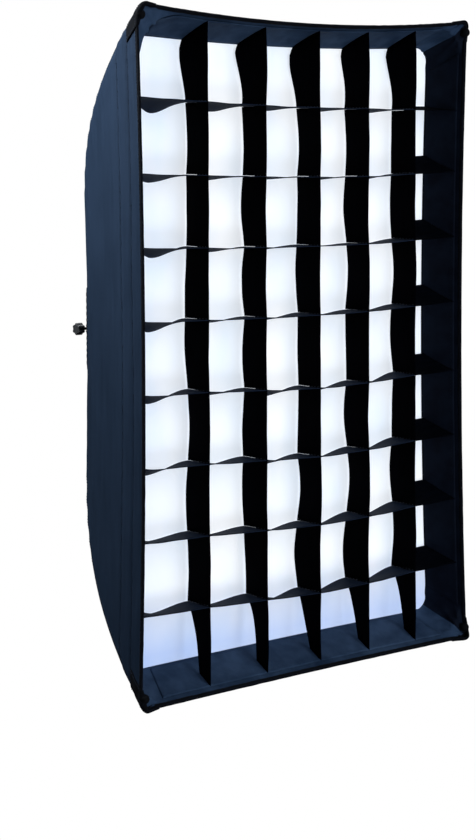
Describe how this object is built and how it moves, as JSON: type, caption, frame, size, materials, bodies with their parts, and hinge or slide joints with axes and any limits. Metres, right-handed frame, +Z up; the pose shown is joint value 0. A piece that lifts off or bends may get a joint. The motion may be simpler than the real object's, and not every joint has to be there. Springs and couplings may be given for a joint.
{
  "type": "strip softbox",
  "caption": "Rectangular fabric softbox with bent rods, a rotating bayonet speed ring, an inner baffle, a recessed front diffuser and an egg-crate grid.",
  "frame": {"origin": "centre of the speed ring's rear seat, where the flash head locks on", "axes": "+Y back to the flash head along the light's axis, so the lit face looks along -Y; +Z up along the long side; +X to the right as seen from the front camera looking along +Y"},
  "size_m": [0.6034, 0.4455, 0.8977],
  "materials": {
    "zinc_steel": "zinc plated, satin",
    "cast_ring": "black powder coat on cast aluminium",
    "spring_rod": "drawn spring steel",
    "knob_plastic": "moulded, satin",
    "rubber_tip": "matt moulded",
    "shell_fabric": "plain-woven black nylon with a blue cast, silver inside",
    "grid_fabric": "matt black double nylon",
    "webbing": "black tape and binding",
    "diffusion_cloth": "white translucent nylon",
    "elastic": "knitted elastic"
  },
  "bodies": {
    "bayonet": {"bayonet_insert": "zinc_steel"},
    "box": {"ring_body": "cast_ring", "retaining_ring": "zinc_steel", "ring_screw_1": "zinc_steel", "ring_screw_2": "zinc_steel", "ring_screw_3": "zinc_steel", "rod_socket_tl": "zinc_steel", "rod_tl": "spring_rod", "rod_ferrule_tl": "zinc_steel", "rod_tip_tl": "rubber_tip", "corner_pocket_tl": "webbing", "rod_socket_tr": "zinc_steel", "rod_tr": "spring_rod", "rod_ferrule_tr": "zinc_steel", "rod_tip_tr": "rubber_tip", "corner_pocket_tr": "webbing", "rod_socket_bl": "zinc_steel", "rod_bl": "spring_rod", "rod_ferrule_bl": "zinc_steel", "rod_tip_bl": "rubber_tip", "corner_pocket_bl": "webbing", "rod_socket_br": "zinc_steel", "rod_br": "spring_rod", "rod_ferrule_br": "zinc_steel", "rod_tip_br": "rubber_tip", "corner_pocket_br": "webbing", "shell_panel_left": "shell_fabric", "shell_panel_right": "shell_fabric", "shell_panel_top": "shell_fabric", "shell_panel_bottom": "shell_fabric", "rear_collar": "webbing", "front_binding": "webbing", "lip_hook_tape": "webbing"},
    "lock_left": {"lock_knob_left": "knob_plastic"},
    "lock_right": {"lock_knob_right": "knob_plastic"},
    "baffle": {"inner_baffle": "diffusion_cloth", "baffle_strap_tl": "elastic", "baffle_strap_tr": "elastic", "baffle_strap_bl": "elastic", "baffle_strap_br": "elastic"},
    "diffuser": {"front_diffuser": "diffusion_cloth", "diffuser_loop_tape": "webbing"},
    "grid": {"grid_vertical_1": "grid_fabric", "grid_vertical_2": "grid_fabric", "grid_vertical_3": "grid_fabric", "grid_vertical_4": "grid_fabric", "grid_vertical_5": "grid_fabric", "grid_horizontal_1": "grid_fabric", "grid_horizontal_2": "grid_fabric", "grid_horizontal_3": "grid_fabric", "grid_horizontal_4": "grid_fabric", "grid_horizontal_5": "grid_fabric", "grid_horizontal_6": "grid_fabric", "grid_horizontal_7": "grid_fabric", "grid_horizontal_8": "grid_fabric", "grid_band_left": "grid_fabric", "grid_band_right": "grid_fabric", "grid_band_top": "grid_fabric", "grid_band_bottom": "grid_fabric"}
  },
  "joints": [
    {"name": "box_spin", "type": "hinge", "parent": "bayonet", "child": "box", "pos_m": [0, 0, 0], "axis": [0, 1, 0], "continuous": true},
    {"name": "lock_left_turn", "type": "hinge", "parent": "box", "child": "lock_left", "pos_m": [-0.074, -0.0055, 0], "axis": [-1, 0, 0], "range_deg": [0, 360]},
    {"name": "lock_right_turn", "type": "hinge", "parent": "box", "child": "lock_right", "pos_m": [0.074, -0.0055, 0], "axis": [1, 0, 0], "range_deg": [0, 360]},
    {"name": "baffle_off", "type": "slide", "parent": "box", "child": "baffle", "axis": [0, -1, 0], "range_m": [0, 0.3]},
    {"name": "diffuser_off", "type": "slide", "parent": "baffle", "child": "diffuser", "axis": [0, -1, 0], "range_m": [0, 0.2]},
    {"name": "grid_off", "type": "slide", "parent": "diffuser", "child": "grid", "axis": [0, -1, 0], "range_m": [0, 0.2]}
  ]
}
